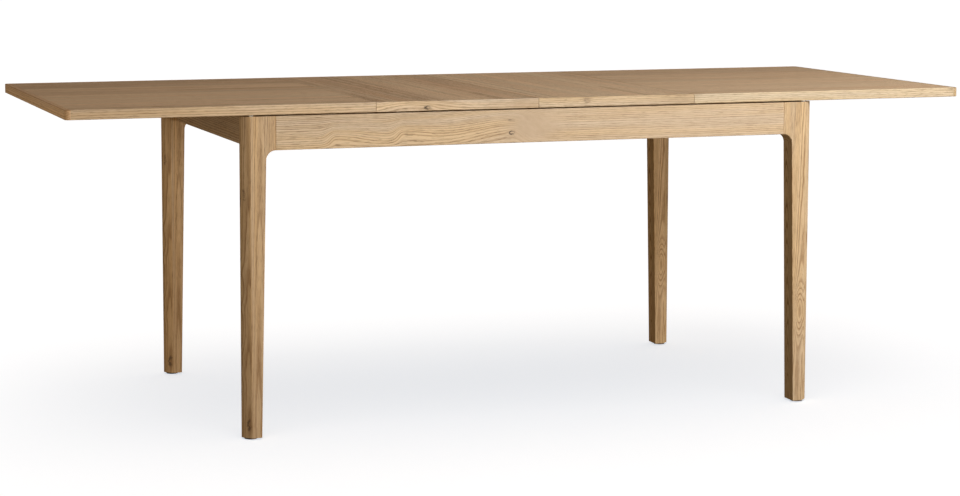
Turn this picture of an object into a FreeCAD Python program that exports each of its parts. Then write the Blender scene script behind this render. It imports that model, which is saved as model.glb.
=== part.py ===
import FreeCAD, Part
import math
import os

# An extending oak dining table with its two leaves in place. The frame stands still, the two
# halves of the top slide apart on wooden bearers, and two loose leaves fill the gap between them.
# Millimetres. X runs along the table, Y across it, Z is up. The origin is on the floor, under the
# middle of the top. "Left" is -X and "front" is -Y.

# ---- the whole table ----
height = 750.0
closed_length = 1400.0
width = 860.0
leaf_length = 390.0
top_thickness = 22.0
slide_gap = 3.0

# ---- top boards ----
lip_width = 12.0
corner_round = 10.0
edge_round = 1.2
seam_gap = 0.8
seam_ease = 0.6
over_travel = 40.0

# ---- legs ----
leg_depth = 45.0
leg_width_top = 56.0
leg_width_foot = 42.0
leg_bow_angle = 46.0
leg_tip_round = 11.0
leg_crease_round = 5.0
leg_fillet = 22.0
leg_edge_round = 1.5
leg_corner_flat = 10.0
joint_ease = 0.9

# ---- aprons, end rails and cross rails ----
apron_height = 76.0
apron_thickness = 22.0
end_rail_inset = 37.0
end_rail_thickness = 22.0
tenon_thickness = 8.0
tenon_length = 20.0
tenon_shoulder = 9.0
glue_room = 1.0
inner_lift = 11.0
cross_rail_thickness = 24.0
housing_depth = 8.0

# ---- bearers, stop blocks and battens under the halves ----
bearer_height = 40.0
bearer_top_width = 28.0
bearer_foot_width = 40.0
bearer_to_apron = 118.0
bearer_spacing = 60.0
bearer_end_gap = 6.0
running_clearance = 0.3
stop_length = 30.0
stop_height = 14.0
stop_margin = 8.0
batten_width = 28.0
batten_height = 20.0
batten_gap = 15.0

# ---- leaf pegs ----
peg_radius = 4.0
peg_bite = 12.0
peg_reach = 10.0
peg_tip = 1.0
peg_inset = 60.0
peg_clearance = 0.3

# ---- slide pads and foot glides ----
pad_radius = 5.0
pad_from_end = 23.0
pad_from_face = 9.0
foot_radius = 15.0
foot_height = 4.0
foot_chamfer = 0.8
foot_pin_radius = 2.0
foot_pin_length = 14.0

# ---- corner braces and their bolts ----
brace_thickness = 22.0
brace_seat = 5.0
brace_gap = 6.0
bolt_radius = 4.0
bolt_spare = 9.0
bolt_to_tenon = 1.5
washer_radius = 9.0
washer_thickness = 1.6
nut_across_flats = 13.0
nut_thickness = 6.5
fastener_clearance = 0.1

# ---- pan-head wood screws ----
screw_radius = 2.0
screw_head_radius = 4.0
screw_head_height = 2.4
screw_bite = 12.0
screw_sink = 4.0
screw_margin = 25.0

# ---- levels and places worked out from the sizes above ----
under_top = height - top_thickness
frame_top = under_top - slide_gap
apron_bottom = frame_top - apron_height
inner_bottom = apron_bottom + inner_lift
bearer_bottom = under_top - bearer_height
stop_bottom = bearer_bottom - stop_height

leg_end = closed_length / 2
table_end = leg_end + leaf_length
side = width / 2
back_of_leg = side - leg_depth
inside_apron = side - apron_thickness
rail_outer = leg_end - end_rail_inset
rail_inner = rail_outer - end_rail_thickness

taper = (leg_width_top - leg_width_foot) / (apron_bottom - foot_height)
taper_angle = math.atan(taper)
fillet_centre_z = apron_bottom - leg_fillet
leg_width_at_fillet = leg_width_foot + taper * (fillet_centre_z - foot_height)
shoulder_width = leg_width_at_fillet + leg_fillet / math.cos(taper_angle)
apron_end = leg_end - shoulder_width

bearer_out = rail_inner - over_travel - bearer_end_gap
bearer_in = rail_inner - bearer_end_gap - leaf_length
bearer_far = inside_apron - bearer_to_apron
bearer_near = bearer_far - bearer_spacing
stop_face = bearer_in - stop_margin - stop_length
cross_rail_inner = stop_face - over_travel - running_clearance
cross_rail_outer = cross_rail_inner - cross_rail_thickness
batten_end = bearer_near - bearer_foot_width / 2 - batten_gap


def box(x0, x1, y0, y1, z0, z1):
    """A block between two opposite corners, given in any order."""
    corner = FreeCAD.Vector(min(x0, x1), min(y0, y1), min(z0, z1))
    return Part.makeBox(abs(x1 - x0), abs(y1 - y0), abs(z1 - z0), corner)


def prism(points, reach):
    """A straight-sided outline pushed along the vector reach."""
    corners = [FreeCAD.Vector(*point) for point in points]
    outline = Part.makePolygon(corners + corners[:1])
    return Part.Face(outline).extrude(FreeCAD.Vector(*reach))


def rod(radius, start, end):
    """A round bar from one point to another."""
    foot = FreeCAD.Vector(*start)
    reach = FreeCAD.Vector(*end) - foot
    return Part.makeCylinder(radius, reach.Length, foot, reach)


def mirrored_x(shape):
    return shape.mirror(FreeCAD.Vector(0, 0, 0), FreeCAD.Vector(1, 0, 0))


def mirrored_y(shape):
    return shape.mirror(FreeCAD.Vector(0, 0, 0), FreeCAD.Vector(0, 1, 0))


def turned(shape):
    """The same piece at the other end of the table, turned half round about the upright axis."""
    copy = shape.copy()
    copy.rotate(FreeCAD.Vector(0, 0, 0), FreeCAD.Vector(0, 0, 1), 180)
    return copy


def cut_all(shape, tools):
    return shape.cut(Part.makeCompound(tools))


def near(value, target):
    return abs(value - target) < 0.001


def edges_where(shape, test):
    """The edges whose bounding box passes the test."""
    return [edge for edge in shape.Edges if test(edge.BoundBox)]


def rounded(shape, radius, test):
    return shape.makeFillet(radius, edges_where(shape, test))


def eased(shape, size, test):
    return shape.makeChamfer(size, edges_where(shape, test))


# ---- fasteners ----
# A screw is given by its tip and its seat, which is the middle of the face under its head.

def screw(tip, seat):
    start = FreeCAD.Vector(*seat)
    way = (FreeCAD.Vector(*tip) - start).normalize()
    head = rod(screw_head_radius, start - way * screw_head_height, start)
    return head.fuse(rod(screw_radius, start, tip)).removeSplitter()


def screw_hole(tip, seat):
    """The hole for a screw's shank, with the counterbore that its head is sunk in."""
    start = FreeCAD.Vector(*seat)
    end = FreeCAD.Vector(*tip)
    way = (end - start).normalize()
    shank = rod(screw_radius + fastener_clearance, start, end + way * fastener_clearance)
    return shank.fuse(rod(screw_head_radius + fastener_clearance, start - way * screw_sink, start))


# ---- legs ----

def leg_side_view():
    """The leg seen from the front: plumb outside, tapered inside, with a shoulder for the apron."""
    outer = -leg_end
    centre = FreeCAD.Vector(-apron_end, -side, fillet_centre_z)
    mid_angle = (math.pi - taper_angle + math.pi / 2) / 2
    arc_start = centre + FreeCAD.Vector(-math.cos(taper_angle), 0, math.sin(taper_angle)) * leg_fillet
    arc_middle = centre + FreeCAD.Vector(math.cos(mid_angle), 0, math.sin(mid_angle)) * leg_fillet
    arc_end = centre + FreeCAD.Vector(0, 0, leg_fillet)
    foot_outer = FreeCAD.Vector(outer, -side, foot_height)
    foot_inner = FreeCAD.Vector(outer + leg_width_foot, -side, foot_height)
    shoulder_top = FreeCAD.Vector(-apron_end, -side, frame_top)
    top_outer = FreeCAD.Vector(outer, -side, frame_top)
    edges = [
        Part.makeLine(foot_outer, foot_inner),
        Part.makeLine(foot_inner, arc_start),
        Part.Arc(arc_start, arc_middle, arc_end).toShape(),
        Part.makeLine(arc_end, shoulder_top),
        Part.makeLine(shoulder_top, top_outer),
        Part.makeLine(top_outer, foot_outer),
    ]
    return Part.Face(Part.Wire(edges)).extrude(FreeCAD.Vector(0, leg_depth, 0))


def leg_plan():
    """The leg seen from above: a blunt rounded bow at its outer end, the rest is square."""
    middle = -side + leg_depth / 2
    bow = math.radians(leg_bow_angle)
    apex = -leg_end - leg_tip_round * (1 / math.cos(bow) - 1)
    crease = apex + leg_depth / 2 * math.tan(bow)
    points = [
        (apex, middle, 0),
        (crease, -side, 0),
        (-apron_end, -side, 0),
        (-apron_end, -back_of_leg, 0),
        (crease, -back_of_leg, 0),
    ]
    plan = prism(points, (0, 0, height))
    plan = rounded(plan, leg_tip_round, lambda bound: near(bound.XMax, apex))
    return rounded(plan, leg_crease_round,
                   lambda bound: near(bound.XMin, crease) and near(bound.XMax, crease))


def joint_groove():
    """The fine V groove down the front of the joint between a leg's shoulder and the apron."""
    points = [
        (-apron_end - joint_ease, -side, apron_bottom),
        (-apron_end, -side + joint_ease, apron_bottom),
        (-apron_end + joint_ease, -side, apron_bottom),
    ]
    return prism(points, (0, 0, apron_height))


def apron_tenon(extra):
    """The tongue on the left end of the front apron, or with extra depth its mortise in the leg."""
    middle = -side + apron_thickness / 2
    half = tenon_thickness / 2
    return box(-apron_end, -apron_end - tenon_length - extra, middle - half, middle + half,
               apron_bottom + tenon_shoulder, frame_top - tenon_shoulder)


def end_rail_tenon(extra):
    """The tongue on the front end of the left end rail, or with extra depth its mortise in the leg."""
    middle = -(rail_outer + rail_inner) / 2
    half = tenon_thickness / 2
    return box(middle - half, middle + half, -back_of_leg, -back_of_leg - tenon_length - extra,
               apron_bottom + tenon_shoulder, frame_top - tenon_shoulder)


def leg_corner_cut():
    """What is taken off the inner corner of the leg's shoulder, leaving a flat square to the bolt."""
    reach = leg_corner_flat / math.sqrt(2)
    points = [
        (-apron_end + reach, -back_of_leg + reach, foot_height),
        (-apron_end - 2 * reach, -back_of_leg + reach, foot_height),
        (-apron_end + reach, -back_of_leg - 2 * reach, foot_height),
    ]
    return prism(points, (0, 0, height))


def foot_centre():
    return -leg_end + leg_width_foot / 2, -side + leg_depth / 2


def make_leg():
    leg = leg_side_view().common(leg_plan())

    def inner_edge(bound):
        on_front = near(bound.YMax, -side)
        on_back = near(bound.YMin, -back_of_leg)
        below_apron = bound.ZMax < apron_bottom + 0.001
        return (on_front or on_back) and below_apron and bound.ZLength > leg_fillet / 2

    leg = rounded(leg, leg_edge_round, inner_edge)
    x, y = foot_centre()
    pin_hole = rod(foot_pin_radius + fastener_clearance, (x, y, 0), (x, y, foot_height + foot_pin_length))
    bolt_hole = rod(bolt_radius + fastener_clearance, bolt_tip(), along_bolt(0))
    mortises = [apron_tenon(glue_room), end_rail_tenon(glue_room)]
    return cut_all(leg, mortises + [leg_corner_cut(), joint_groove(), pin_hole, bolt_hole])


def make_foot_glide():
    """A round glide with a pin in the leg."""
    x, y = foot_centre()
    disc = rod(foot_radius, (x, y, 0), (x, y, foot_height))
    disc = eased(disc, foot_chamfer, lambda bound: near(bound.ZMax, 0))
    pin_end = foot_height + foot_pin_length - fastener_clearance
    pin = rod(foot_pin_radius, (x, y, foot_height), (x, y, pin_end))
    return disc.fuse(pin).removeSplitter()


def make_slide_pad():
    """The pale button on a leg's top that the table top slides on."""
    x = -leg_end + pad_from_end
    y = -side + pad_from_face
    return rod(pad_radius, (x, y, frame_top), (x, y, under_top))


# ---- aprons and rails ----

def cross_rail_block():
    """The left cross rail before its notches, with its ends in the aprons."""
    end = inside_apron + housing_depth
    return box(-cross_rail_inner, -cross_rail_outer, -end, end, inner_bottom, frame_top)


def make_apron():
    """The front apron, with a tongue at each end and slots for the cross rails and the braces."""
    apron = box(-apron_end, apron_end, -side, -inside_apron, apron_bottom, frame_top)
    apron = rounded(apron, leg_edge_round,
                    lambda bound: near(bound.ZMax, apron_bottom) and near(bound.YMin, bound.YMax))
    tongue = apron_tenon(0)
    apron = apron.fuse([tongue, mirrored_x(tongue)])
    cuts = [cross_rail_block(), brace_block(), joint_groove()]
    return cut_all(apron, cuts + [mirrored_x(cut) for cut in cuts])


def make_end_rail():
    """The left end rail, tenoned between the two legs, with slots for the braces."""
    rail = box(-rail_outer, -rail_inner, -back_of_leg, back_of_leg, apron_bottom, frame_top)
    rail = rounded(rail, leg_edge_round,
                   lambda bound: near(bound.ZMax, apron_bottom) and near(bound.XMin, bound.XMax))
    tongue = end_rail_tenon(0)
    rail = rail.fuse([tongue, mirrored_y(tongue)])
    return cut_all(rail, [brace_block(), mirrored_y(brace_block())])


def bearer_bar(x0, x1, y_centre, clearance):
    """A dovetail bar, wider at its foot: a bearer, or with clearance the notch that it runs in."""
    top_half = bearer_top_width / 2 + clearance
    foot_half = bearer_foot_width / 2 + clearance
    points = [
        (x0, y_centre - foot_half, bearer_bottom - clearance),
        (x0, y_centre + foot_half, bearer_bottom - clearance),
        (x0, y_centre + top_half, under_top),
        (x0, y_centre - top_half, under_top),
    ]
    return prism(points, (x1 - x0, 0, 0))


def make_cross_rail():
    """The left cross rail, notched for all four bearers."""
    notches = []
    for y in (-bearer_far, -bearer_near, bearer_near, bearer_far):
        notches.append(bearer_bar(-cross_rail_inner, -cross_rail_outer, y, running_clearance))
    return cut_all(cross_rail_block(), notches)


# ---- corner braces ----
# Round the front-left corner, "along" is the distance from the inside of the end rail and
# "across" is the distance from the inside of the apron. A line at 45 degrees across the corner
# is given by its sum, along + across.

def corner_place(along, across, z):
    return -rail_inner + along, -inside_apron + across, z


def shoulder_sum():
    """The sum at the inner corner of the leg's shoulder."""
    return (rail_inner - apron_end) + (inside_apron - back_of_leg)


def brace_sums():
    """The sums of the brace's two faces."""
    near_sum = shoulder_sum() - leg_corner_flat / math.sqrt(2) + brace_gap * math.sqrt(2)
    return near_sum, near_sum + brace_thickness * math.sqrt(2)


def brace_block():
    """The brace before its bolt hole, with its ends in the apron and the end rail."""
    near_sum, far_sum = brace_sums()
    corners = [
        (near_sum + brace_seat, -brace_seat),
        (far_sum + brace_seat, -brace_seat),
        (-brace_seat, far_sum + brace_seat),
        (-brace_seat, near_sum + brace_seat),
    ]
    points = [corner_place(along, across, inner_bottom) for along, across in corners]
    return prism(points, (0, 0, frame_top - inner_bottom))


def make_brace():
    return brace_block().cut(rod(bolt_radius + fastener_clearance, bolt_tip(), bolt_end()))


def along_bolt(distance):
    """A point on the corner bolt's axis, at a distance from the brace's inner face."""
    corner = FreeCAD.Vector(-apron_end, -back_of_leg, (inner_bottom + frame_top) / 2)
    inward = (brace_sums()[1] - shoulder_sum()) / math.sqrt(2) + distance
    return corner + FreeCAD.Vector(1, 1, 0).normalize() * inward


def bolt_end():
    return along_bolt(washer_thickness + nut_thickness + bolt_spare)


def bolt_tip():
    """The bolt's end in the leg, just short of the two mortises."""
    rail_room = (rail_inner - apron_end) + (end_rail_thickness - tenon_thickness) / 2
    apron_room = (inside_apron - back_of_leg) + (apron_thickness - tenon_thickness) / 2
    bite = (min(rail_room, apron_room) - bolt_to_tenon) * math.sqrt(2) - bolt_radius
    return along_bolt((shoulder_sum() - brace_sums()[1]) / math.sqrt(2) - bite)


def make_washer():
    start = along_bolt(0)
    end = along_bolt(washer_thickness)
    return rod(washer_radius, start, end).cut(rod(bolt_radius + fastener_clearance, start, end))


def make_nut():
    start = along_bolt(washer_thickness)
    end = along_bolt(washer_thickness + nut_thickness)
    across = FreeCAD.Vector(-1, 1, 0).normalize()
    up = FreeCAD.Vector(0, 0, 1)
    radius = nut_across_flats / math.sqrt(3)
    corners = []
    for step in range(6):
        angle = math.radians(60 * step)
        corners.append(start + across * (radius * math.cos(angle)) + up * (radius * math.sin(angle)))
    hexagon = prism(corners, end - start)
    return hexagon.cut(rod(bolt_radius + fastener_clearance, start, end))


# ---- the left half of the top and what hangs from it ----

def bearer_screws(y):
    """Tip and seat of the screws that hold a bearer under its half of the top."""
    screws = []
    for x in (-bearer_out + screw_margin, -leaf_length - screw_margin):
        screws.append(((x, y, under_top + screw_bite), (x, y, bearer_bottom + screw_sink)))
    return screws


def stop_screw(y):
    """Tip and seat of the screw that holds a stop block under a bearer."""
    x = stop_face + stop_length / 2
    return (x, y, bearer_bottom + screw_bite), (x, y, stop_bottom)


def batten_screws():
    """Tip and seat of the screws that hold the batten under its half of the top."""
    x = -bearer_out + batten_width / 2
    screws = []
    for y in (-batten_end + screw_margin, batten_end - screw_margin):
        screws.append(((x, y, under_top + screw_bite), (x, y, under_top - batten_height)))
    return screws


def make_bearer(y):
    bearer = bearer_bar(-bearer_out, bearer_in, y, 0)
    holes = [screw_hole(tip, seat) for tip, seat in bearer_screws(y) + [stop_screw(y)]]
    peg_hole_bottom = under_top - peg_reach - peg_clearance
    for x in peg_places():
        holes.append(rod(peg_radius + peg_clearance, (x, y, peg_hole_bottom), (x, y, under_top)))
    return cut_all(bearer, holes)


def make_stop_block(y):
    half = bearer_foot_width / 2
    block = box(stop_face, stop_face + stop_length, y - half, y + half, stop_bottom, bearer_bottom)
    return block.cut(screw_hole(*stop_screw(y)))


def make_batten():
    bottom = under_top - batten_height
    batten = box(-bearer_out, -bearer_out + batten_width, -batten_end, batten_end, bottom, under_top)
    batten = eased(batten, batten_height / 2,
                   lambda bound: near(bound.ZMax, bottom) and near(bound.YMin, bound.YMax))
    return cut_all(batten, [screw_hole(tip, seat) for tip, seat in batten_screws()])


def board(x0, x1):
    """A board of the top between two cross seams, without its edge lips."""
    inner = side - lip_width
    return box(x0, x1, -inner, inner, under_top, height)


def front_lip(x0, x1):
    lip = box(x0, x1, -side, -side + lip_width, under_top, height)
    return rounded(lip, edge_round, lambda bound: near(bound.YMax, -side) and near(bound.ZMin, bound.ZMax))


def end_lip():
    """The lip across the left end of the top, with the top's two round corners in it."""
    lip = box(-table_end, -table_end + lip_width, -side, side, under_top, height)
    lip = rounded(lip, corner_round, lambda bound: near(bound.XMax, -table_end) and near(bound.YMin, bound.YMax))

    def outside(bound):
        inner = near(bound.XMin, -table_end + lip_width)
        return near(bound.ZMin, bound.ZMax) and not inner

    return rounded(lip, edge_round, outside)


def make_half_board(seam):
    panel = board(-table_end + lip_width, seam)
    panel = eased(panel, seam_ease, lambda bound: near(bound.XMin, seam) and near(bound.ZMin, height))
    screws = bearer_screws(-bearer_far) + bearer_screws(bearer_near) + batten_screws()
    return cut_all(panel, [screw_hole(tip, seat) for tip, seat in screws])


# ---- the left leaf ----

def peg_places():
    """Where the left leaf's pegs stand along the table, over the bearers of its own half."""
    return -leaf_length + peg_inset, -peg_inset


def make_leaf_board(outer, inner):
    panel = board(outer, inner)
    panel = eased(panel, seam_ease, lambda bound: near(bound.XMin, bound.XMax) and near(bound.ZMin, height))
    holes = []
    for x in peg_places():
        for y in (-bearer_far, bearer_near):
            holes.append(rod(peg_radius, (x, y, under_top), (x, y, under_top + peg_bite)))
    return cut_all(panel, holes)


def make_pegs():
    """The four pegs glued into the left leaf, which drop into holes in the bearers."""
    bottom = under_top - peg_reach
    pegs = []
    for x in peg_places():
        for y in (-bearer_far, bearer_near):
            peg = rod(peg_radius, (x, y, bottom), (x, y, under_top + peg_bite))
            pegs.append(eased(peg, peg_tip, lambda bound: near(bound.ZMax, bottom)))
    return Part.makeCompound(pegs)


# ---- the whole table ----

def add_corners(parts, name, shape):
    """Places a front-left piece at all four corners, each mirrored from it."""
    parts[name + "_front_left"] = shape
    parts[name + "_front_right"] = mirrored_x(shape)
    parts[name + "_back_left"] = mirrored_y(shape)
    parts[name + "_back_right"] = mirrored_x(mirrored_y(shape))


def add_turned(parts, left_name, right_name, shape):
    """Places a piece of the left half or leaf, and the same piece turned round to the right."""
    parts[left_name] = shape
    parts[right_name] = turned(shape)


def four_of(shape):
    return Part.makeCompound([shape, mirrored_x(shape), mirrored_y(shape), mirrored_x(mirrored_y(shape))])


def add_frame(parts):
    add_corners(parts, "leg", make_leg())
    add_corners(parts, "foot_glide", make_foot_glide())
    add_corners(parts, "slide_pad", make_slide_pad())
    add_corners(parts, "corner_brace", make_brace())
    parts["apron_front"] = make_apron()
    parts["apron_back"] = mirrored_y(make_apron())
    parts["end_rail_left"] = make_end_rail()
    parts["end_rail_right"] = mirrored_x(make_end_rail())
    parts["cross_rail_left"] = make_cross_rail()
    parts["cross_rail_right"] = mirrored_x(make_cross_rail())
    parts["corner_bolts"] = four_of(rod(bolt_radius, bolt_tip(), bolt_end()))
    parts["corner_washers"] = four_of(make_washer())
    parts["corner_nuts"] = four_of(make_nut())


def add_halves(parts):
    seam = -leaf_length - seam_gap / 2
    lip = front_lip(-table_end + lip_width, seam)
    long_screws = bearer_screws(-bearer_far) + bearer_screws(bearer_near)
    short_screws = batten_screws() + [stop_screw(-bearer_far), stop_screw(bearer_near)]
    add_turned(parts, "top_left", "top_right", make_half_board(seam))
    add_turned(parts, "top_left_end_lip", "top_right_end_lip", end_lip())
    add_turned(parts, "top_left_front_lip", "top_right_back_lip", lip)
    add_turned(parts, "top_left_back_lip", "top_right_front_lip", mirrored_y(lip))
    add_turned(parts, "bearer_left_front", "bearer_right_back", make_bearer(-bearer_far))
    add_turned(parts, "bearer_left_back", "bearer_right_front", make_bearer(bearer_near))
    add_turned(parts, "stop_block_left_front", "stop_block_right_back", make_stop_block(-bearer_far))
    add_turned(parts, "stop_block_left_back", "stop_block_right_front", make_stop_block(bearer_near))
    add_turned(parts, "batten_left", "batten_right", make_batten())
    add_turned(parts, "bearer_screws_left", "bearer_screws_right",
               Part.makeCompound([screw(tip, seat) for tip, seat in long_screws]))
    add_turned(parts, "short_screws_left", "short_screws_right",
               Part.makeCompound([screw(tip, seat) for tip, seat in short_screws]))


def add_leaves(parts):
    outer = -leaf_length + seam_gap / 2
    inner = -seam_gap / 2
    lip = front_lip(outer, inner)
    add_turned(parts, "leaf_left", "leaf_right", make_leaf_board(outer, inner))
    add_turned(parts, "leaf_left_front_lip", "leaf_right_back_lip", lip)
    add_turned(parts, "leaf_left_back_lip", "leaf_right_front_lip", mirrored_y(lip))
    add_turned(parts, "leaf_left_pegs", "leaf_right_pegs", make_pegs())


def main():
    parts = {}
    add_frame(parts)
    add_halves(parts)
    add_leaves(parts)
    os.makedirs("parts", exist_ok=True)
    for name, shape in parts.items():
        shape.exportStep("parts/" + name + ".step")
        print(name, len(shape.Solids), round(shape.Volume / 1000, 2), "cm3")


main()
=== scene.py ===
import math

import bpy
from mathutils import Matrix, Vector


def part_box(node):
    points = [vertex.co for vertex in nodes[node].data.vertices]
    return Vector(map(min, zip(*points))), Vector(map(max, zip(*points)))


# The extending oak table on a white studio floor. Metres and radians, in the frame's own axes: X
# along the table, Y across it to the back, Z up. Colours are linear.

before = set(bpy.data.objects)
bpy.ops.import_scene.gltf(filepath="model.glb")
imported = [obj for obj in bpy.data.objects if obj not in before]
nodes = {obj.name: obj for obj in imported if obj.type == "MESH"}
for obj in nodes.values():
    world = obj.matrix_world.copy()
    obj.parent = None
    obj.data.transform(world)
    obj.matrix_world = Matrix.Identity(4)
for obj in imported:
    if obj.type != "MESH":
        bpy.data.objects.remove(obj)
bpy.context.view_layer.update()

# ---- the photograph's camera ----
PHOTO_WIDTH = 960
PHOTO_HEIGHT = 496
SENSOR_MILLIMETRES = 36.0
FOCAL_PIXELS = 2415.2
VIEW_CENTRE_X = 420.5
VIEW_CENTRE_Y = 176.0
CAMERA_PLACE = (-1.9885, -5.5813, 1.1719)
CAMERA_YAW = 0.31926
CAMERA_PITCH = 0.10857

# ---- directions ----
ALONG_X = (1.0, 0.0, 0.0)
ALONG_Y = (0.0, 1.0, 0.0)
UPRIGHT = (0.0, 0.0, 1.0)
OUTWARD = {"left": Vector((-1.0, 0.0, 0.0)), "right": Vector((1.0, 0.0, 0.0))}

# ---- sizes of the looks ----
# A stave is one of the strips that a board is glued up from. Edges look worn to the radius
# EDGE_EASE. A leg's outer side bends round a line BOW_DEPTH behind its tip, and its normals take
# BOW_SHARE of that bend. A mark of size THROUGH runs right through its piece.
STAVE_WIDTH = 0.11
EDGE_EASE = 0.0009
BOW_DEPTH = 0.0185
BOW_SHARE = 0.7
THROUGH = 10.0
BOLT_PITCH = 0.00125

# ---- colours ----
OAK_PALE = (0.66, 0.475, 0.295)
OAK_DARK = (0.36, 0.215, 0.105)
TOP_PALE = (0.62, 0.445, 0.285)
TOP_DARK = (0.36, 0.215, 0.12)
BEECH_PALE = (0.60, 0.43, 0.28)
BEECH_DARK = (0.40, 0.25, 0.14)
ASHEN = (0.98, 1.00, 1.05)
GOLDEN = (1.03, 0.98, 0.87)
GREYISH = (0.95, 0.99, 1.01)
RUDDY = (1.05, 0.99, 0.94)
# Even wood for plain places, and for the pale streak of painted highlight down the left legs' crease.
PLAIN_AND_HIGHLIGHT_PALE = (0.60, 0.455, 0.310)
PLAIN_AND_HIGHLIGHT_DARK = (0.45, 0.325, 0.205)
ZINC_DULL = (0.46, 0.46, 0.45)
ZINC_BRIGHT = (0.66, 0.66, 0.67)
GREY_NYLON = (0.045, 0.04, 0.036)
PALE_NYLON = (0.78, 0.76, 0.70)
# Shades of a wood's dark colour, and for rubbed edges of its pale one.
STAIN_SHADE = (0.62, 0.53, 0.38)
KNOT_SHADE = 0.22
PORE_SHADE = 0.42
FLECK_SHADE = 0.75
RUBBED_SHADE = 1.12


# ---- shader graphs ----

class Graph:
    """Adds nodes to a node tree. An input given as a socket is linked, any other value is set."""

    def __init__(self, tree):
        self.tree = tree
        tree.nodes.clear()

    def add(self, kind, inputs=None, **settings):
        node = self.tree.nodes.new(kind)
        for name, value in settings.items():
            setattr(node, name, value)
        for key, value in (inputs or {}).items():
            if isinstance(value, bpy.types.NodeSocket):
                self.tree.links.new(value, node.inputs[key])
            else:
                node.inputs[key].default_value = value
        return node

    def on_table(self):
        """The shaded point where it lies on the table at rest. It stays so when a joint moves."""
        return self.add("ShaderNodeTexCoord").outputs["Object"]

    def math(self, operation, *values, clamp=False):
        inputs = dict(enumerate(values))
        return self.add("ShaderNodeMath", inputs, operation=operation, use_clamp=clamp).outputs[0]

    def vector_node(self, operation, values):
        return self.add("ShaderNodeVectorMath", dict(enumerate(values)), operation=operation)

    def vector(self, operation, *values):
        """A vector worked out from vectors."""
        return self.vector_node(operation, values).outputs["Vector"]

    def measure(self, operation, *values):
        """A number worked out from vectors."""
        return self.vector_node(operation, values).outputs["Value"]

    def split(self, value):
        """A vector's outputs X, Y and Z."""
        return self.add("ShaderNodeSeparateXYZ", {0: value}).outputs

    def join(self, x, y, z):
        return self.add("ShaderNodeCombineXYZ", {"X": x, "Y": y, "Z": z}).outputs[0]

    def noise(self, place, stretch, detail=0.0, output="Fac"):
        """Noise from 0 to 1, whose features are about 1 / stretch metres long on each axis."""
        inputs = {
            "Vector": self.vector("MULTIPLY", place, stretch),
            "Scale": 1.0,
            "Detail": detail,
            "Roughness": NOISE_ROUGHNESS,
        }
        return self.add("ShaderNodeTexNoise", inputs, noise_dimensions="3D").outputs[output]

    def noise_along(self, value, frequency):
        """Noise from 0 to 1 along one number."""
        inputs = {"W": self.math("MULTIPLY", value, frequency), "Scale": 1.0, "Detail": 1.0}
        return self.add("ShaderNodeTexNoise", inputs, noise_dimensions="1D").outputs["Fac"]

    def stray(self, place, stretch):
        """A vector of noise, from -0.5 to 0.5 on each axis."""
        return self.vector("SUBTRACT", self.noise(place, stretch, 1.0, "Color"), (0.5, 0.5, 0.5))

    def step(self, value, low, high):
        """0 below low and 1 above high, with a smooth slope between them."""
        inputs = {"Value": value, "From Min": low, "From Max": high}
        return self.add("ShaderNodeMapRange", inputs, interpolation_type="SMOOTHSTEP").outputs[0]

    def fade(self, value, low, high):
        """1 below low and 0 above high, with a smooth slope between them."""
        return self.math("SUBTRACT", 1.0, self.step(value, low, high))

    def mix(self, factor, first, second):
        """The first colour where the factor is 0, and the second where it is 1."""
        node = self.add("ShaderNodeMix", {"Factor": factor}, data_type="RGBA")
        for name, value in (("A_Color", first), ("B_Color", second)):
            socket = next(s for s in node.inputs if s.identifier == name)
            if isinstance(value, bpy.types.NodeSocket):
                self.tree.links.new(value, socket)
            else:
                socket.default_value = (*value, 1.0)
        return next(s for s in node.outputs if s.identifier == "Result_Color")

    def surface(self, inputs):
        """Ends a material with a shader that takes these inputs."""
        shader = self.add("ShaderNodeBsdfPrincipled", inputs).outputs[0]
        self.add("ShaderNodeOutputMaterial", {"Surface": shader})


def new_material(name):
    """A new material, and the graph that its nodes go into."""
    material = bpy.data.materials.new(name)
    material.use_nodes = True
    return material, Graph(material.node_tree)


def new_group(name, inputs, outputs):
    """An empty node group, its graph, and its input and output nodes."""
    tree = bpy.data.node_groups.new(name, "ShaderNodeTree")
    graph = Graph(tree)
    for label, kind in inputs.items():
        tree.interface.new_socket(label, in_out="INPUT", socket_type=kind)
    for label in outputs:
        tree.interface.new_socket(label, in_out="OUTPUT", socket_type="NodeSocketFloat")
    return tree, graph, graph.add("NodeGroupInput").outputs, graph.add("NodeGroupOutput").inputs


def times(colour, factor):
    """A colour scaled by one number, or by one for each channel."""
    if isinstance(factor, float):
        factor = (factor, factor, factor)
    return tuple(channel * part for channel, part in zip(colour, factor))


# ---- the figure of wood ----
# How many features fit into a metre along the log, and both ways across it.
PITH_STRAYS = (1.7, 4.0, 4.0)
RIPPLES = (9.0, 26.0, 26.0)
STREAKS = (3.0, 190.0, 24.0)
DASHES = (18.0, 560.0, 560.0)
OAK_PORES = (45.0, 1500.0, 1500.0)
BEECH_PORES = (260.0, 1800.0, 1800.0)
FLECKS = (40.0, 160.0, 900.0)
DRIFT = (1.3, 6.0, 6.0)
MOTTLE = (14.0, 60.0, 60.0)
HUES = (1.6, 40.0, 40.0)
PLAIN_CLOUDS = (50.0, 90.0, 90.0)
RAGGED_EDGES = (130.0, 130.0, 130.0)
NOISE_ROUGHNESS = 0.55

# Metres that the rings ripple and the pith strays.
RIPPLE_REACH = 0.002
PITH_REACH = 0.004

# The years of the rings. The dark early wood rises and fades within these parts of a year. Years
# differ in width and in strength: _CHANGES says how often per year, and _RANGE how much.
EARLY_RISES = (0.0, 0.10)
EARLY_FADES = (0.12, 0.62)
WIDTH_CHANGES = 0.22
WIDTH_RANGE = 1.6
STRENGTH_CHANGES = 0.45
STRONG_YEARS = (0.3, 0.7)
STRENGTH_RANGE = 0.45

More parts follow.
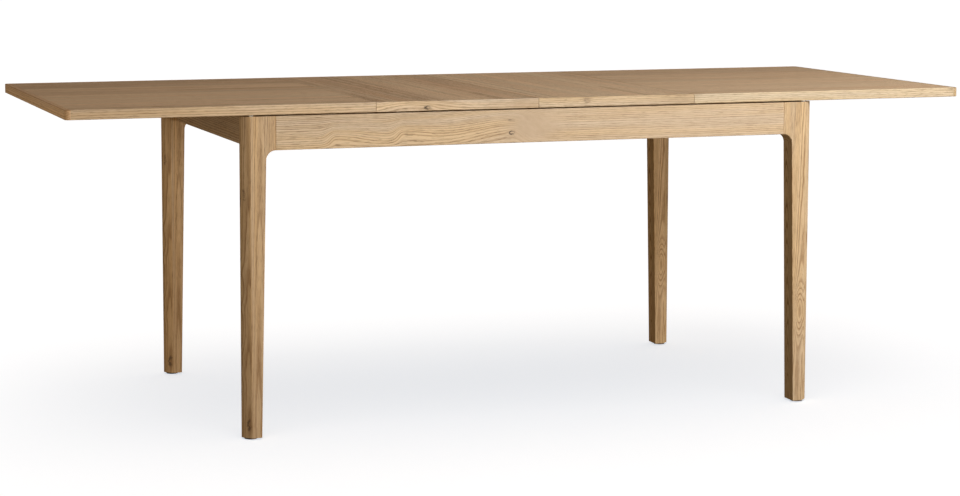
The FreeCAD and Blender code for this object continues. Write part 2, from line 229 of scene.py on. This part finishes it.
# Where noise turns into pores, ray flecks and the second hue, and what early wood adds to the pores'.
PORE_EDGE = (0.60, 0.70)
FLECK_EDGE = (0.62, 0.72)
HUE_EDGE = (0.30, 0.70)
EARLY_PORES = 0.10

# How much each part of the figure adds to the shade, which runs from 0, pale, to 1, dark.
BASE_SHADE = 0.14
RINGS_SHARE = 0.80
STREAKS_SHARE = 0.60
DASHES_SHARE = 0.60
DRIFT_SHARE = 0.70
MOTTLE_SHARE = 0.35
STAVE_SHARE = 0.50
PORES_SHARE = 0.55
FLECKS_SHARE = 0.16

# The surface. Pores and early wood are hollow and rougher, and worn edges are rubbed paler.
WOOD_ROUGHNESS = 0.52
PORE_ROUGHNESS = 0.22
RING_ROUGHNESS = 0.07
RING_HOLLOW = 0.25
PORE_DEPTH = 0.00025
BUMP_STRENGTH = 0.6
WOOD_SPECULAR = 0.35
BEVEL_SAMPLES = 4
RUBBED_EDGE = (0.90, 0.995)
RUBBED_SHARE = 0.30

# How far a face of a leg has to look outward to be bent round its bow.
BOW_EDGE = (0.25, 0.60)

# A stave's place in its own log: how far staves lie apart there, and where the nearest one lies.
STAVE_SPREAD = (4.0, 0.09, 0.05)
STAVE_START = (0.0, -0.045, 0.012)

# A knot, in shares of its size: its pale middle, its rim, the side on which its crescent is open,
# and in metres how ragged its edge is.
KNOT_MIDDLE = (0.15, 0.45)
KNOT_RIM = (0.50, 1.0)
KNOT_OPENING = (-0.3, 0.7)
KNOT_RAGGED = (0.012, 0.012, 0.006)


def wood_figure(name, pore_stretch):
    """The figure of solid wood at Place, a point in the log, whose pith is the X axis.

    Ring is the width of a year's ring, Wave how far the rings ripple and Wander how far the pith
    strays, all in metres. The outputs run from 0, pale, to 1, dark.
    """
    tree, graph, given, result = new_group(
        name,
        {"Place": "NodeSocketVector", "Ring": "NodeSocketFloat", "Wave": "NodeSocketFloat",
         "Wander": "NodeSocketVector"},
        ("Rings", "Streaks", "Dashes", "Pores", "Flecks"))
    place = given["Place"]
    bent = graph.vector("MULTIPLY_ADD", graph.stray(place, PITH_STRAYS), given["Wander"], place)
    radius = graph.measure("LENGTH", graph.vector("MULTIPLY", bent, (0.0, 1.0, 1.0)))
    ripple = graph.math("SUBTRACT", graph.noise(place, RIPPLES, 2.0), 0.5)
    radius = graph.math("MULTIPLY_ADD", ripple, given["Wave"], radius)
    years = graph.math("DIVIDE", radius, given["Ring"])
    years = graph.math("MULTIPLY_ADD", graph.noise_along(years, WIDTH_CHANGES), WIDTH_RANGE, years)
    phase = graph.math("FRACT", years)
    early = graph.math("MULTIPLY", graph.step(phase, *EARLY_RISES), graph.fade(phase, *EARLY_FADES))
    strong = graph.step(graph.noise_along(years, STRENGTH_CHANGES), *STRONG_YEARS)
    strength = graph.math("MULTIPLY_ADD", strong, STRENGTH_RANGE, 1.0 - STRENGTH_RANGE)
    parts = graph.split(bent)
    ring_place = graph.join(parts["X"], radius, parts["Z"])
    pore_noise = graph.noise(bent, pore_stretch, 1.0)
    shown = {
        "Rings": graph.math("MULTIPLY", early, strength),
        "Streaks": graph.noise(ring_place, STREAKS, 2.0),
        "Dashes": graph.noise(bent, DASHES, 1.0),
        "Pores": graph.step(graph.math("MULTIPLY_ADD", early, EARLY_PORES, pore_noise), *PORE_EDGE),
        "Flecks": graph.step(graph.noise(bent, FLECKS), *FLECK_EDGE),
    }
    for label, value in shown.items():
        tree.links.new(value, result[label])
    return tree


OAK = wood_figure("oak_figure", OAK_PORES)
BEECH = wood_figure("beech_figure", BEECH_PORES)


class Mark:
    """A place in a piece of wood where the figure is pushed aside, or that has a knot or a stain.

    centre is measured from the piece's anchor, and size is its reach each way, in metres. push is
    how far the figure moves in the middle, knot how dark the crescent there is, stain how dark a
    soft shade, which on the end lips is painted shade, and plain how far the figure fades into even
    wood, which down the left legs' crease is a painted highlight. steep makes the mark that many
    times shorter on its left.
    """

    def __init__(self, centre, size, push=(0.0, 0.0, 0.0), knot=0.0, stain=0.0, plain=0.0, steep=1.0):
        self.centre = Vector(centre)
        self.size = size
        self.size_before = (-size[0] / steep, -size[1], -size[2])
        self.push = push
        self.knot = knot
        self.stain = stain
        self.plain = plain


def add_marks(graph, place, anchor, marks):
    """Where the marks move the figure to, and how strong their knots, stains and plain places are."""
    # The end lips' stains are painted shade, and the left legs' plain crease is a painted highlight.
    moved = place
    knots = 0.0
    stains_and_shade = 0.0
    plains_and_highlights = 0.0
    for mark in marks:
        centre = anchor + mark.centre
        away = graph.vector("SUBTRACT", place, centre)
        ahead = graph.vector("DIVIDE", away, mark.size)
        behind = graph.vector("DIVIDE", away, mark.size_before)
        reach = graph.measure("LENGTH", graph.vector("MAXIMUM", ahead, behind))
        soft = graph.math("EXPONENT", graph.math("MULTIPLY", graph.math("POWER", reach, 2.0), -1.0))
        if any(mark.push):
            moved = graph.vector("MULTIPLY_ADD", soft, tuple(-part for part in mark.push), moved)
        if mark.stain:
            stains_and_shade = graph.math("MULTIPLY_ADD", soft, mark.stain, stains_and_shade)
        if mark.plain:
            plains_and_highlights = graph.math("MULTIPLY_ADD", soft, mark.plain, plains_and_highlights)
        if mark.knot:
            crescent = knot_crescent(graph, place, centre, mark.size)
            knots = graph.math("MULTIPLY_ADD", crescent, mark.knot, knots)
    return moved, knots, stains_and_shade, plains_and_highlights


def knot_crescent(graph, place, centre, size):
    """1 in a ragged crescent round a knot's left side, and 0 elsewhere."""
    ragged = graph.vector("MULTIPLY_ADD", graph.stray(place, RAGGED_EDGES), KNOT_RAGGED, place)
    away = graph.vector("DIVIDE", graph.vector("SUBTRACT", ragged, centre), size)
    reach = graph.measure("LENGTH", away)
    rim = graph.math("MULTIPLY", graph.step(reach, *KNOT_MIDDLE), graph.fade(reach, *KNOT_RIM))
    return graph.math("MULTIPLY", rim, graph.fade(graph.split(away)["X"], *KNOT_OPENING))


def into_staves(graph, place):
    """Cuts the log place into staves side by side, each from another log, with a tone of its own."""
    parts = graph.split(place)
    wide = graph.math("DIVIDE", parts["Y"], STAVE_WIDTH)
    stave = graph.math("FLOOR", wide)
    chance = graph.add("ShaderNodeTexWhiteNoise", {"W": stave}, noise_dimensions="1D").outputs
    from_middle = graph.math("SUBTRACT", graph.math("FRACT", wide), 0.5)
    inside = graph.join(parts["X"], graph.math("MULTIPLY", from_middle, STAVE_WIDTH), parts["Z"])
    shift = graph.vector("MULTIPLY", chance["Color"], STAVE_SPREAD)
    shift = graph.vector("ADD", shift, STAVE_START)
    return graph.vector("ADD", inside, shift), chance["Value"]


def figure_colour(graph, log, shown, tone, pale, dark, contrast, hues):
    """The wood's colour, from pale to dark as the figure says, with its two hues, pores and flecks."""
    shade = graph.math("MULTIPLY", shown["Rings"], RINGS_SHARE * contrast)
    for value, share in (
            (shown["Streaks"], STREAKS_SHARE * contrast),
            (shown["Dashes"], DASHES_SHARE * contrast),
            (graph.noise(log, DRIFT, 2.0), DRIFT_SHARE),
            (graph.noise(log, MOTTLE, 2.0), MOTTLE_SHARE),
            (tone, STAVE_SHARE)):
        shade = graph.math("MULTIPLY_ADD", graph.math("SUBTRACT", value, 0.5), share, shade)
    shade = graph.math("ADD", shade, BASE_SHADE, clamp=True)
    hue = graph.step(graph.noise(log, HUES, 2.0), *HUE_EDGE)
    colour = graph.vector("MULTIPLY", graph.mix(shade, pale, dark), graph.mix(hue, *hues))
    for part, share, darker in (("Pores", PORES_SHARE, PORE_SHADE), ("Flecks", FLECKS_SHARE, FLECK_SHADE)):
        colour = graph.mix(graph.math("MULTIPLY", shown[part], share), colour, times(dark, darker))
    return colour


def bowed(graph, normal, flat, place, tip, outward):
    """The normal of a leg's outer side, bent a little as if its two slopes were one soft bow.

    flat is the face's own normal, and tip the foremost point of the outer side. Only faces that
    look outward are bent.
    """
    from_line = graph.vector("SUBTRACT", place, tip - outward * BOW_DEPTH)
    radial = graph.vector("NORMALIZE", graph.vector("MULTIPLY", from_line, (1.0, 1.0, 0.0)))
    looks_out = graph.step(graph.measure("DOT_PRODUCT", flat, outward), *BOW_EDGE)
    share = graph.math("MULTIPLY", looks_out, BOW_SHARE)
    bend = graph.add("ShaderNodeVectorMath", {0: radial, "Scale": share}, operation="SCALE").outputs[0]
    return graph.vector("NORMALIZE", graph.vector("ADD", normal, bend))


def wood(name, anchor, along, pith, pale, dark, ring=0.004, figure=OAK, marks=(), staves=False,
         contrast=1.0, hues=(ASHEN, GOLDEN), outward=None):
    """A wood material.

    Its log runs along the given way, through the point pith. The pith and the marks are measured
    from the anchor. Where the log runs a little out of the piece's own line, the rings run out of
    its face in arches. ring is the width of a year, hues are the two tints that the colour drifts
    between, and outward is given for a leg, whose outer side is bowed.
    """
    material, graph = new_material(name)
    place = graph.on_table()
    moved, knots, stains_and_shade, plains_and_highlights = add_marks(graph, place, anchor, marks)
    turn = Vector(ALONG_X).rotation_difference(Vector(along)).to_euler()
    log = graph.add("ShaderNodeMapping", {
        "Vector": moved,
        "Location": anchor + Vector(pith),
        "Rotation": tuple(turn),
    }, vector_type="TEXTURE").outputs[0]
    tone = 0.5
    if staves:
        log, tone = into_staves(graph, log)
    shown = graph.add("ShaderNodeGroup", {
        "Place": log,
        "Ring": ring,
        "Wave": RIPPLE_REACH,
        "Wander": (0.0, PITH_REACH, PITH_REACH),
    }, node_tree=figure).outputs
    colour = figure_colour(graph, log, shown, tone, pale, dark, contrast, hues)
    if marks:
        # Plain places fade into even wood. Down the left legs' crease this is a painted highlight.
        even = graph.mix(graph.noise(moved, PLAIN_CLOUDS, 2.0), PLAIN_AND_HIGHLIGHT_PALE, PLAIN_AND_HIGHLIGHT_DARK)
        # Stains darken towards this colour. On the end lips this is painted shade.
        stain_and_shade_colour = times(dark, STAIN_SHADE)
        knotty = times(dark, KNOT_SHADE)
        for strength, marked in ((plains_and_highlights, even), (stains_and_shade, stain_and_shade_colour), (knots, knotty)):
            colour = graph.mix(graph.math("MINIMUM", strength, 1.0), colour, marked)
    eased = graph.add("ShaderNodeBevel", {"Radius": EDGE_EASE}, samples=BEVEL_SAMPLES).outputs[0]
    flat = graph.add("ShaderNodeNewGeometry").outputs["Normal"]
    rubbed = graph.fade(graph.measure("DOT_PRODUCT", eased, flat), *RUBBED_EDGE)
    colour = graph.mix(graph.math("MULTIPLY", rubbed, RUBBED_SHARE), colour, times(pale, RUBBED_SHADE))
    if outward is not None:
        eased = bowed(graph, eased, flat, place, anchor, outward)
    hollow = graph.math("MULTIPLY_ADD", shown["Rings"], RING_HOLLOW, shown["Pores"])
    bump = graph.add("ShaderNodeBump", {
        "Height": graph.math("SUBTRACT", 1.0, hollow),
        "Distance": PORE_DEPTH,
        "Strength": BUMP_STRENGTH,
        "Normal": eased,
    }).outputs[0]
    rough = graph.math("MULTIPLY_ADD", shown["Pores"], PORE_ROUGHNESS, WOOD_ROUGHNESS)
    graph.surface({
        "Base Color": colour,
        "Roughness": graph.math("MULTIPLY_ADD", shown["Rings"], RING_ROUGHNESS, rough),
        "Normal": bump,
        "Specular IOR Level": WOOD_SPECULAR,
    })
    return material


# ---- steel and nylon ----
# Features in a metre, as for wood.
ZINC_CLOUDS = (220.0, 220.0, 220.0)
ZINC_SCRATCHES = (300.0, 2600.0, 2600.0)
NYLON_GRAIN = (900.0, 900.0, 900.0)
ZINC_ROUGHNESS = 0.25
SCRATCH_ROUGHNESS = 0.25
NYLON_ROUGHNESS = 0.4
GRAIN_ROUGHNESS = 0.2
GRAIN_SHADE = 0.85
GRAIN_DEPTH = 0.0001
GRAIN_STRENGTH = 0.5


def steel(name, pitch=None):
    """Zinc-plated steel, cloudy and a little dull.

    With a pitch it has a thread's furrows across the diagonal that a corner bolt lies on.
    """
    material, graph = new_material(name)
    place = graph.on_table()
    clouds = graph.noise(place, ZINC_CLOUDS, 3.0)
    scratches = graph.noise(place, ZINC_SCRATCHES, 1.0)
    inputs = {
        "Base Color": graph.mix(clouds, ZINC_DULL, ZINC_BRIGHT),
        "Roughness": graph.math("MULTIPLY_ADD", scratches, SCRATCH_ROUGHNESS, ZINC_ROUGHNESS),
        "Metallic": 1.0,
    }
    if pitch:
        parts = graph.split(place)
        across = graph.math("ADD", graph.math("ABSOLUTE", parts["X"]), graph.math("ABSOLUTE", parts["Y"]))
        turns = graph.math("DIVIDE", across, pitch * math.sqrt(2.0))
        inputs["Normal"] = graph.add("ShaderNodeBump", {
            "Height": graph.math("PINGPONG", turns, 0.5),
            "Distance": pitch,
            "Strength": 1.0,
        }).outputs[0]
    graph.surface(inputs)
    return material


def nylon(name, colour):
    """Moulded nylon with a fine grain."""
    material, graph = new_material(name)
    grain = graph.noise(graph.on_table(), NYLON_GRAIN, 2.0)
    bump = graph.add("ShaderNodeBump", {
        "Height": grain,
        "Distance": GRAIN_DEPTH,
        "Strength": GRAIN_STRENGTH,
    }).outputs[0]
    graph.surface({
        "Base Color": graph.mix(grain, colour, times(colour, GRAIN_SHADE)),
        "Roughness": graph.math("MULTIPLY_ADD", grain, GRAIN_ROUGHNESS, NYLON_ROUGHNESS),
        "Normal": bump,
    })
    return material


# ---- pieces and their places ----

def dress(name, material):
    """Gives a CAD node its material."""
    node = nodes[name]
    node.data.materials.clear()
    node.data.materials.append(material)


def dress_in_oak(name, anchor, along, pith, tone=1.0, **looks):
    """Dresses a piece in oak with a tone and looks of its own."""
    dress(name, wood(name, anchor, along, pith, times(OAK_PALE, tone), times(OAK_DARK, tone), **looks))


def middle(name):
    low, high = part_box(name)
    return (low + high) / 2


# ---- the aprons and end rails, measured from their middles ----
# On the front apron two knots lie one over the other near its middle. The rings sweep up to them
# from the left, and further left they have two steep waves. The back apron is plain.
APRON_TONE = (0.97, 1.04, 1.12)
KNOTS_X = -0.065
STEEP_WAVES = [
    Mark((-0.485, 0.0, -0.009), (0.10, THROUGH, 0.024), push=(0.0, 0.0, 0.018), steep=5.0),
    Mark((-0.325, 0.0, -0.003), (0.10, THROUGH, 0.026), push=(0.0, 0.0, 0.020), steep=4.5),
]
SWEEP = Mark((KNOTS_X, 0.0, 0.003), (0.050, THROUGH, 0.050), push=(0.0, 0.0, 0.033), steep=0.33)
UPPER_KNOT = Mark((KNOTS_X, 0.0, 0.0144), (0.013, THROUGH, 0.0036), push=(0.0, 0.0, 0.003), knot=0.5)
LOWER_KNOT = Mark((KNOTS_X, 0.0, -0.0140), (0.011, THROUGH, 0.0065), push=(0.0, 0.0, 0.004), knot=1.1)
BESIDE_KNOTS = Mark((KNOTS_X + 0.052, 0.0, -0.001), (0.055, THROUGH, 0.036), plain=1.4, stain=0.06)
FAINT_RIGHT = Mark((0.340, 0.0, 0.001), (0.300, THROUGH, THROUGH), plain=0.35)
APRONS = {
    "front": {
        "pith": (0.0, 0.05, -0.127),
        "marks": STEEP_WAVES + [SWEEP, UPPER_KNOT, LOWER_KNOT, BESIDE_KNOTS, FAINT_RIGHT],
    },
    "back": {"pith": (0.4, -0.07, -0.085)},
}
APRON_LOG = (1.0, 0.0, 0.006)
END_RAIL_LOG = (0.0, 1.0, 0.01)
END_RAIL_PITH = (0.05, 0.0, -0.09)


def dress_apron(side):
    name = "apron_" + side
    dress_in_oak(name, middle(name), APRON_LOG, tone=APRON_TONE, **APRONS[side])


def dress_end_rail(side):
    name = "end_rail_" + side
    dress_in_oak(name, middle(name), END_RAIL_LOG, END_RAIL_PITH)


# ---- the legs, measured from the tip of their outer side, on the floor ----
# The left legs have small ovals up their bowed side, a knot halfway up and a dark split near the
# foot, dark streaks between them, and a painted highlight down the crease to their front. The
# right legs have a tall oval on their front, with arches over it. All are darker towards the foot.
OVALS = [Mark((0.0, -0.004, height), (0.014, 0.010, 0.024), push=(-0.0028, 0.0, 0.0))
         for height in (0.15, 0.19, 0.30, 0.376)]
LEG_KNOT = Mark((0.003, -0.012, 0.55), (0.02, 0.003, 0.018), knot=0.8, stain=0.3)
SPLIT = [
    Mark((0.014, -0.020, 0.062), (0.005, 0.010, 0.016), stain=0.35),
    Mark((0.014, -0.018, 0.034), (0.007, 0.010, 0.019), knot=0.8, stain=0.5),
]
DARK_STREAKS = [
    Mark((0.013, -0.017, 0.665), (0.004, 0.006, 0.070), stain=0.26),
    Mark((0.006, -0.010, 0.470), (0.005, 0.007, 0.090), stain=0.24),
    Mark((0.012, -0.015, 0.270), (0.003, 0.006, 0.060), stain=0.22),
    Mark((0.032, -0.022, 0.400), (0.003, 0.006, 0.110), stain=0.14),
]
# A pale streak down the crease between the bowed side and the front: a painted highlight.
PAINTED_CREST_HIGHLIGHT = Mark((0.023, -0.022, 0.480), (0.004, 0.004, 0.300), plain=0.55)
TALL_OVAL = Mark((-0.028, -0.022, 0.223), (0.021, 0.03, 0.052), push=(0.0, -0.011, 0.0))


def dark_foot(stain):
    """The shade that darkens a leg towards its foot."""
    return Mark((0.0, 0.0, -0.05), (THROUGH, THROUGH, 0.40), stain=stain)


LEGS = {
    "left": {
        "along": (0.012, 0.004, 1.0),
        "pith": (0.036, 0.003, 0.22),
        "ring": 0.0024,
        "contrast": 0.95,
        "marks": OVALS + [LEG_KNOT] + SPLIT + DARK_STREAKS + [PAINTED_CREST_HIGHLIGHT, dark_foot(0.34)],
    },
    "right": {
        "along": (0.026, 0.006, 1.0),
        "pith": (-0.027, 0.004, 0.223),
        "ring": 0.0022,
        "contrast": 1.15,
        "marks": [TALL_OVAL, dark_foot(0.22)],
    },
}
# Each leg's tone. The back legs are paler partly as painted light, for the light the top keeps off them.
LEG_TONES_AND_PAINTED_LIGHT = {
    "leg_front_left": (0.94, 0.93, 0.87),
    "leg_back_left": (1.09, 1.03, 0.88),
    "leg_front_right": (0.96, 0.99, 0.98),
    "leg_back_right": (1.02, 0.98, 0.84),
}


def dress_leg(side_y, side_x):
    name = "leg_%s_%s" % (side_y, side_x)
    low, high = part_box(name)
    tip_x = low.x if side_x == "left" else high.x
    tip = Vector((tip_x, middle(name).y, 0.0))
    dress_in_oak(name, tip, tone=LEG_TONES_AND_PAINTED_LIGHT[name], outward=OUTWARD[side_x], **LEGS[side_x])


# ---- the top and its lips, measured from their middles ----
# The staves of all four boards are laid out from a line under the table's middle. Each leaf's front
# lip darkens to its right, and the end lips are darker on top and at their front end. The left end
# lip is paler all over, painted light on its shaded end face, and its darker top and front end are
# painted shade where more light falls. From each lip to the next the log leans a little more and
# lies a little lower.
BOARD_PITH = (0.0, 0.0, -0.039)
LIP_PITH = Vector((0.0, 0.03, -0.045))
LOWER_EACH_LIP = Vector((0.0, 0.0, -0.004))
LEAN_EACH_LIP = 0.002
END_LIP_PITH = (0.03, 0.0, -0.05)
LIP_TONES = {
    "top_left_front_lip": (1.05, 1.14, 1.26),
    "leaf_left_front_lip": (1.07, 1.18, 1.34),
    "leaf_right_front_lip": (0.97, 1.04, 1.09),
    "top_right_front_lip": (0.95, 1.06, 1.14),
}
# The left end lip's paler tone paints light onto its shaded end face.
END_LIP_TONES_AND_PAINTED_LIGHT = {"left": (1.30, 1.28, 1.32), "right": (0.92, 1.00, 1.05)}
LIP_MARKS = {
    "top_left_front_lip": [Mark((-0.266, 0.0, 0.0), (0.30, THROUGH, THROUGH), stain=0.30)],
    "leaf_left_front_lip": [
        Mark((-0.115, 0.0, 0.003), (0.09, THROUGH, 0.020), push=(0.0, 0.0, 0.016)),
        Mark((-0.072, 0.0, -0.004), (0.014, THROUGH, 0.0055), push=(0.0, 0.0, 0.003), knot=1.0),
        Mark((-0.055, 0.0, 0.003), (0.05, THROUGH, 0.02), stain=0.18),
        Mark((0.175, 0.0, 0.0), (0.10, THROUGH, THROUGH), stain=0.26),
    ],
    "leaf_right_front_lip": [
        Mark((-0.075, 0.0, 0.003), (0.012, THROUGH, 0.007), push=(0.0, 0.0, 0.004), knot=0.3, stain=0.35),
        Mark((0.185, 0.0, 0.0), (0.11, THROUGH, THROUGH), stain=0.25),
    ],
}


def dress_board(name, along):
    anchor = Vector((0.0, 0.0, middle(name).z))
    dress(name, wood(name, anchor, along, BOARD_PITH, TOP_PALE, TOP_DARK, ring=0.0036, staves=True,
                     contrast=0.65, hues=(GREYISH, RUDDY)))


def dress_lip(name, number):
    """Dresses a front or back lip. The number makes its log differ from the other lips' logs."""
    log = (1.0, LEAN_EACH_LIP * number, 0.008)
    pith = LIP_PITH + LOWER_EACH_LIP * number
    dress_in_oak(name, middle(name), log, pith, tone=LIP_TONES.get(name, 1.0), ring=0.0042,
                 marks=LIP_MARKS.get(name, ()), contrast=0.68)


def dress_end_lip(side):
    name = "top_%s_end_lip" % side
    low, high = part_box(name)
    half = (high - low) / 2
    # Darker bands on top and at the front end: painted shade where more light falls on the lip.
    marks = [
        Mark((0.0, 0.0, half.z), (THROUGH, THROUGH, 0.0016), stain=0.45),
        Mark((0.0, -half.y, 0.0), (THROUGH, 0.014, THROUGH), stain=0.38),
    ]
    dress_in_oak(name, middle(name), ALONG_Y, END_LIP_PITH, tone=END_LIP_TONES_AND_PAINTED_LIGHT[side], marks=marks,
                 contrast=0.6)


def dress_oak():
    for side_y in ("front", "back"):
        dress_apron(side_y)
        for side_x in ("left", "right"):
            dress_leg(side_y, side_x)
    number = 0
    for side_x in ("left", "right"):
        dress_end_rail(side_x)
        for part, along in (("top", ALONG_X), ("leaf", ALONG_Y)):
            name = part + "_" + side_x
            dress_board(name, along)
            for side_y in ("front", "back"):
                number += 1
                dress_lip("%s_%s_lip" % (name, side_y), number)
        dress_end_lip(side_x)


# ---- the hidden pieces ----
# The beech pieces that lie the same way share a log, and its pith is far from all of them.
TABLE_ORIGIN = Vector((0.0, 0.0, 0.0))
BEECH_LOGS = {
    "x": (ALONG_X, (0.0, 0.9, 0.4)),
    "y": (ALONG_Y, (0.9, 0.0, 0.4)),
    "z": (UPRIGHT, (0.9, 0.3, 0.4)),
}


def dress_hidden():
    grey_nylon = nylon("grey_nylon", GREY_NYLON)
    pale_nylon = nylon("pale_nylon", PALE_NYLON)
    zinc = steel("zinc_steel")
    beech = {}
    for axis, (along, pith) in BEECH_LOGS.items():
        beech[axis] = wood("beech_" + axis, TABLE_ORIGIN, along, pith, BEECH_PALE, BEECH_DARK,
                           ring=0.0026, figure=BEECH)
    for side_x in ("left", "right"):
        for side_y in ("front", "back"):
            dress("foot_glide_%s_%s" % (side_y, side_x), grey_nylon)
            dress("slide_pad_%s_%s" % (side_y, side_x), pale_nylon)
            dress("corner_brace_%s_%s" % (side_y, side_x), beech["y"])
            dress("bearer_%s_%s" % (side_x, side_y), beech["x"])
            dress("stop_block_%s_%s" % (side_x, side_y), beech["x"])
        dress("cross_rail_" + side_x, beech["y"])
        dress("batten_" + side_x, beech["y"])
        dress("leaf_%s_pegs" % side_x, beech["z"])
        dress("bearer_screws_" + side_x, zinc)
        dress("short_screws_" + side_x, zinc)
    dress("corner_bolts", steel("threaded_steel", BOLT_PITCH))
    dress("corner_washers", zinc)
    dress("corner_nuts", zinc)


# ---- floor ----
FLOOR_RADIUS = 90.0
FLOOR_SIDES = 96
FLOOR_WHITE = (0.86, 0.86, 0.86)
FLOOR_GLOW = (0.62, 0.675, 0.735)
FLOOR_ROUGHNESS = 0.9


def make_floor():
    """A large white disc that throws no light on the table and isn't mirrored in it. Much of its
    white is a glow of its own, which keeps the shadow on it as faint as in the photo."""
    bpy.ops.mesh.primitive_circle_add(vertices=FLOOR_SIDES, radius=FLOOR_RADIUS, fill_type="NGON")
    floor = bpy.context.object
    floor.name = "studio_floor"
    material, graph = new_material("studio_floor")
    graph.surface({
        "Base Color": (*FLOOR_WHITE, 1.0),
        "Roughness": FLOOR_ROUGHNESS,
        "Specular IOR Level": 0.0,
        "Emission Color": (*FLOOR_GLOW, 1.0),
        "Emission Strength": 1.0,
    })
    floor.data.materials.append(material)
    floor.visible_diffuse = False
    floor.visible_glossy = False
    return floor


# ---- lights ----
COOL = (0.92, 0.96, 1.0)
WARM = (1.0, 0.965, 0.92)
AMBER = (1.0, 0.94, 0.82)
# Each softbox: its place, the point that it faces, its width and height, its power and its colour.
SOFTBOXES = {
    "key_light": ((2.4, -2.2, 2.6), (0.1, 0.0, 0.5), (1.6, 1.2), 125.0, COOL),
    "front_light": ((2.0, -4.6, 0.7), (0.0, 0.0, 0.4), (3.0, 1.2), 120.0, WARM),
    "left_light": ((-3.7, -2.2, 0.8), (-0.8, 0.0, 0.5), (1.6, 1.6), 27.0, AMBER),
    "back_light": ((1.9, 4.6, 0.72), (0.0, 0.0, 0.4), (3.0, 1.2), 80.0, WARM),
}
# Each wide soft light on the floor: a point that it comes from, its power and its angle.
FLOOR_SUNS = {
    "floor_front_light": ((-0.5, -1.5, 2.6), 0.47, math.radians(49)),
    "floor_back_light": ((0.55, 1.1, 2.6), 0.385, math.radians(76)),
}
# The world's light: from the ground, from the horizon, from overhead, and as the table mirrors it.
WORLD_BELOW = (0.140, 0.085, 0.020)
WORLD_LEVEL = (0.067, 0.035, 0.010)
WORLD_ABOVE = (0.311, 0.219, 0.128)
WORLD_MIRRORED = (0.195, 0.178, 0.145)
GROUND_TO_HORIZON = (-0.15, 0.15)
HORIZON_TO_OVERHEAD = (0.15, 0.75)
WHITE = (1.0, 1.0, 1.0)


def make_light(name, kind, place, target):
    light = bpy.data.objects.new(name, bpy.data.lights.new(name, kind))
    bpy.context.scene.collection.objects.link(light)
    light.location = place
    light.rotation_euler = (Vector(place) - Vector(target)).to_track_quat("Z", "Y").to_euler()
    return light


def link_floor(light, floor, state):
    """Makes the light shine on the floor alone, or with state EXCLUDE on all but the floor."""
    receivers = bpy.data.collections.new(light.name + "_receivers")
    light.light_linking.receiver_collection = receivers
    receivers.objects.link(floor)
    receivers.collection_objects[0].light_linking.link_state = state


def make_lights(floor):
    """A softbox at the front right, a low wide one in front and one behind, a warm one at the left,
    and two soft ones from above that fall on the floor alone. The one behind has no mirror image,
    which would lie on the top."""
    for name, (place, target, size, power, colour) in SOFTBOXES.items():
        light = make_light(name, "AREA", place, target)
        light.data.shape = "RECTANGLE"
        light.data.size, light.data.size_y = size
        light.data.energy = power
        light.data.color = colour
        light.visible_glossy = name != "back_light"
        link_floor(light, floor, "EXCLUDE")
    for name, (place, power, angle) in FLOOR_SUNS.items():
        sun = make_light(name, "SUN", place, TABLE_ORIGIN)
        sun.data.energy = power
        sun.data.angle = angle
        link_floor(sun, floor, "INCLUDE")


def make_world():
    """Soft warm light, strongest overhead and weakest at the horizon. The camera sees plain white."""
    world = bpy.data.worlds.new("studio")
    bpy.context.scene.world = world
    world.use_nodes = True
    graph = Graph(world.node_tree)
    ray = graph.add("ShaderNodeLightPath").outputs
    height = graph.split(graph.add("ShaderNodeTexCoord").outputs["Generated"])["Z"]
    colour = graph.mix(graph.step(height, *GROUND_TO_HORIZON), WORLD_BELOW, WORLD_LEVEL)
    colour = graph.mix(graph.step(height, *HORIZON_TO_OVERHEAD), colour, WORLD_ABOVE)
    colour = graph.mix(ray["Is Glossy Ray"], colour, WORLD_MIRRORED)
    colour = graph.mix(ray["Is Camera Ray"], colour, WHITE)
    light = graph.add("ShaderNodeBackground", {"Color": colour}).outputs[0]
    graph.add("ShaderNodeOutputWorld", {"Surface": light})


def make_camera():
    data = bpy.data.cameras.new("camera")
    data.sensor_fit = "HORIZONTAL"
    data.sensor_width = SENSOR_MILLIMETRES
    data.lens = FOCAL_PIXELS / PHOTO_WIDTH * SENSOR_MILLIMETRES
    data.shift_x = (PHOTO_WIDTH / 2 - VIEW_CENTRE_X) / PHOTO_WIDTH
    data.shift_y = (VIEW_CENTRE_Y - PHOTO_HEIGHT / 2) / PHOTO_WIDTH
    camera = bpy.data.objects.new("camera", data)
    bpy.context.scene.collection.objects.link(camera)
    camera.location = CAMERA_PLACE
    camera.rotation_euler = (math.radians(90) - CAMERA_PITCH, 0.0, -CAMERA_YAW)
    bpy.context.scene.camera = camera


dress_oak()
dress_hidden()
make_lights(make_floor())
make_world()
make_camera()
bpy.context.scene.view_settings.view_transform = "Standard"
